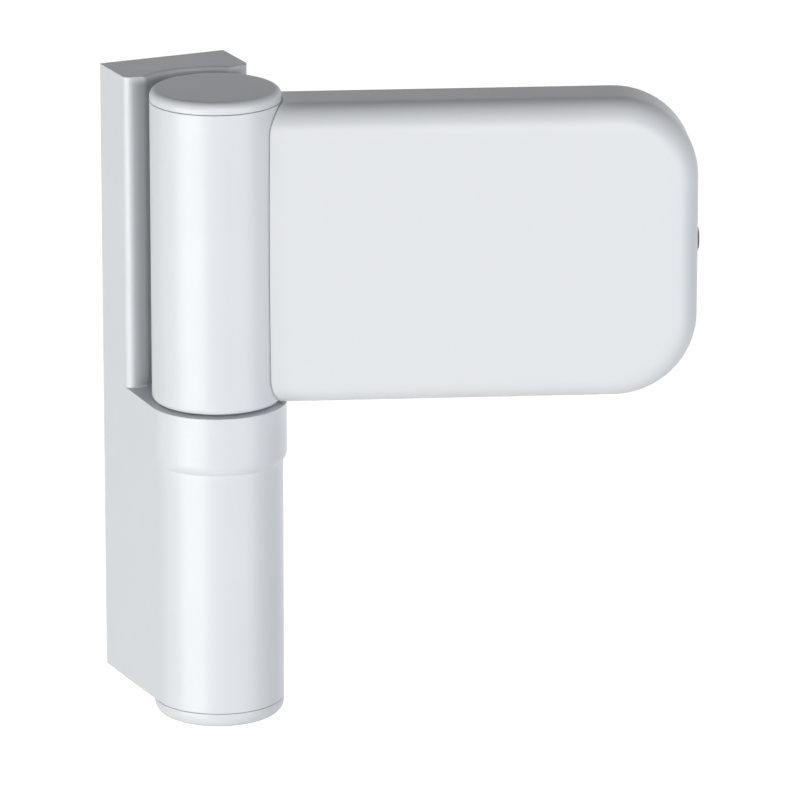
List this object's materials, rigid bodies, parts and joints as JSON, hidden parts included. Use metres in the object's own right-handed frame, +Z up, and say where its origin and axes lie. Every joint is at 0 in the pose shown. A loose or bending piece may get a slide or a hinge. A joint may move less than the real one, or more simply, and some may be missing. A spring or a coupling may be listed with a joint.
{
  "type": "adjustable door hinge",
  "caption": "Surface door hinge: a fixed frame part with barrel and collar, a covered leaf that swings on its pin, and settings for height, pressure and side.",
  "frame": {"origin": "on the mounting face of the frame part, midway across its width, level with the ledge under the knuckle", "axes": "+Y out of the mounting face into the door frame, +Z up along the hinge pin, +X towards the side that the leaf points to when the door is closed"},
  "size_m": [0.0889, 0.056, 0.1089],
  "materials": {
    "coat": "white satin powder coat",
    "cap_plastic": "white satin moulded plastic",
    "cover_plastic": "white satin moulded plastic",
    "bearing_plastic": "natural bearing plastic",
    "bright_steel": "ground steel",
    "zinc_steel": "zinc plated steel",
    "zinc_casting": "bare zinc casting",
    "dark_steel": "blackened steel",
    "brass": "plain brass"
  },
  "bodies": {
    "frame": {"frame_body": "coat", "bottom_cap": "cap_plastic", "bush_ring_nut": "zinc_steel"},
    "bush": {"eccentric_bush": "zinc_steel", "pin_liner": "bearing_plastic", "pin_foot_disc": "bright_steel"},
    "pin": {"hinge_pin": "bright_steel"},
    "top_disc": {"pin_top_disc": "bright_steel"},
    "height_screw": {"height_screw": "zinc_steel"},
    "leaf": {"leaf_carrier": "coat", "lower_knuckle_bush": "bearing_plastic", "upper_knuckle_bush": "bearing_plastic", "top_cap": "cap_plastic", "leaf_cover": "cover_plastic"},
    "door_plate": {"base_plate": "zinc_casting", "spindle_nut": "brass", "clamp_screw_upper": "zinc_steel", "clamp_screw_lower": "zinc_steel"},
    "spindle": {"side_spindle": "dark_steel", "spindle_clip": "dark_steel"}
  },
  "joints": [
    {"name": "pressure_turn", "type": "hinge", "parent": "frame", "child": "bush", "pos_m": [0.001, -0.023, -0.024], "axis": [0, 0, 1], "range_deg": [-90, 90]},
    {"name": "pin_turn", "type": "hinge", "parent": "bush", "child": "pin", "pos_m": [0, -0.023, 0], "axis": [0, 0, 1], "range_deg": [-90, 90]},
    {"name": "leaf_swing", "type": "hinge", "parent": "pin", "child": "top_disc", "pos_m": [0, -0.023, 0.026], "axis": [0, 0, -1], "range_deg": [-20, 160]},
    {"name": "height_slide", "type": "slide", "parent": "top_disc", "child": "leaf", "axis": [0, 0, 1], "range_m": [0, 0.004]},
    {"name": "height_screw_turn", "type": "hinge", "parent": "top_disc", "child": "height_screw", "pos_m": [0, -0.023, 0.043], "axis": [0, 0, 1], "range_deg": [-961, 1]},
    {"name": "side_slide", "type": "slide", "parent": "leaf", "child": "door_plate", "axis": [0.9397, -0.342, 0], "range_m": [-0.005, 0.005]},
    {"name": "spindle_turn", "type": "hinge", "parent": "leaf", "child": "spindle", "pos_m": [0.06626, -0.04563, 0.0262], "axis": [0.9397, -0.342, 0], "range_deg": [-1801, 1801]}
  ],
  "couplings": [
    {"joint": "pin_turn", "follows": "pressure_turn", "ratio": -1},
    {"joint": "height_screw_turn", "follows": "height_slide", "rad_per_m": -4188.8},
    {"joint": "spindle_turn", "follows": "side_slide", "rad_per_m": -6283.2}
  ]
}
